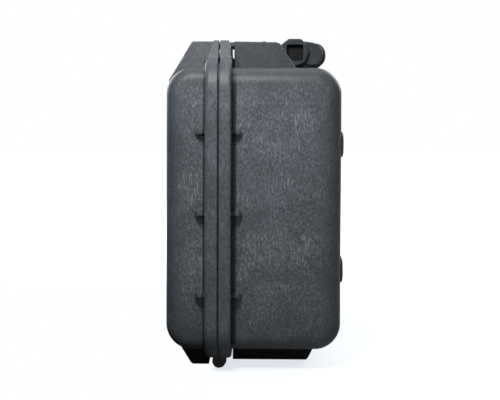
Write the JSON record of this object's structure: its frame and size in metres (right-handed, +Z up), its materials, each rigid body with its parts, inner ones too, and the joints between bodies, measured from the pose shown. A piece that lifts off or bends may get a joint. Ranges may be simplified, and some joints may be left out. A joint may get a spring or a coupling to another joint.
{
  "type": "battery box",
  "caption": "Rugged hard-shell battery box with a hinged lid, snap latches, fold-down handle, vent valve and a foam-lined battery bay.",
  "frame": {"origin": "centre of the footprint at floor level, the case standing on its hinge side", "axes": "+Z up from the hinge side to the handle side, +Y along the length, +X from the lid to the base"},
  "size_m": [0.17, 0.406, 0.328],
  "materials": {
    "shell_plastic": "moulded, fine grain",
    "seal_rubber": "satin",
    "pin_steel": "satin",
    "latch_plastic": "fine grain",
    "handle_plastic": "fine grain",
    "grip_rubber": "ribbed",
    "valve_plastic": "satin",
    "membrane": "woven",
    "stand_plastic": "moulded black",
    "eyelet_steel": "satin",
    "cradle_foam": "closed-cell foam",
    "pad_rubber": "ribbed",
    "bar_aluminium": "satin anodised",
    "knob_plastic": "satin",
    "insert_brass": "knurled"
  },
  "bodies": {
    "base": {"base_shell": "shell_plastic", "base_flange": "shell_plastic", "latch_guards": "shell_plastic", "handle_lugs": "shell_plastic", "back_bumpers": "shell_plastic", "base_stand_left": "stand_plastic", "base_stand_right": "stand_plastic", "stand_screws_base": "pin_steel", "hinge_pins": "pin_steel", "latch_pins": "pin_steel", "handle_pins": "pin_steel", "valve_body": "valve_plastic", "valve_membrane": "membrane", "valve_seal": "seal_rubber", "valve_nut": "valve_plastic", "padlock_eyelets_base": "eyelet_steel", "liner_floor": "cradle_foam", "liner_bottom": "cradle_foam", "liner_top": "cradle_foam", "liner_end_left": "cradle_foam", "liner_end_right": "cradle_foam", "liner_shelf": "cradle_foam", "liner_block": "cradle_foam", "liner_divider": "cradle_foam", "accessory_floor": "cradle_foam", "lead_floor": "cradle_foam", "bay_pad": "pad_rubber", "holddown_bar": "bar_aluminium", "holddown_knobs": "knob_plastic", "boss_inserts": "insert_brass"},
    "lid": {"lid_shell": "shell_plastic", "lid_stand_left": "stand_plastic", "lid_stand_right": "stand_plastic", "stand_screws_lid": "pin_steel", "lid_gasket": "seal_rubber", "padlock_eyelets_lid": "eyelet_steel", "lid_foam": "cradle_foam"},
    "latch_l": {"latch_left": "latch_plastic"},
    "latch_r": {"latch_right": "latch_plastic"},
    "handle": {"handle_frame": "handle_plastic", "handle_grip": "grip_rubber"}
  },
  "joints": [
    {"name": "lid_hinge", "type": "hinge", "parent": "base", "child": "lid", "pos_m": [-0.03445, 0, 0.007], "axis": [0, -1, 0], "range_deg": [0, 105]},
    {"name": "latch_left_hinge", "type": "hinge", "parent": "base", "child": "latch_l", "pos_m": [-0.012, 0.125, 0.3085], "axis": [0, 1, 0], "range_deg": [0, 60]},
    {"name": "latch_right_hinge", "type": "hinge", "parent": "base", "child": "latch_r", "pos_m": [-0.012, -0.125, 0.3085], "axis": [0, 1, 0], "range_deg": [0, 60]},
    {"name": "handle_hinge", "type": "hinge", "parent": "base", "child": "handle", "pos_m": [0.041, 0, 0.313], "axis": [0, -1, 0], "range_deg": [0, 90]}
  ]
}
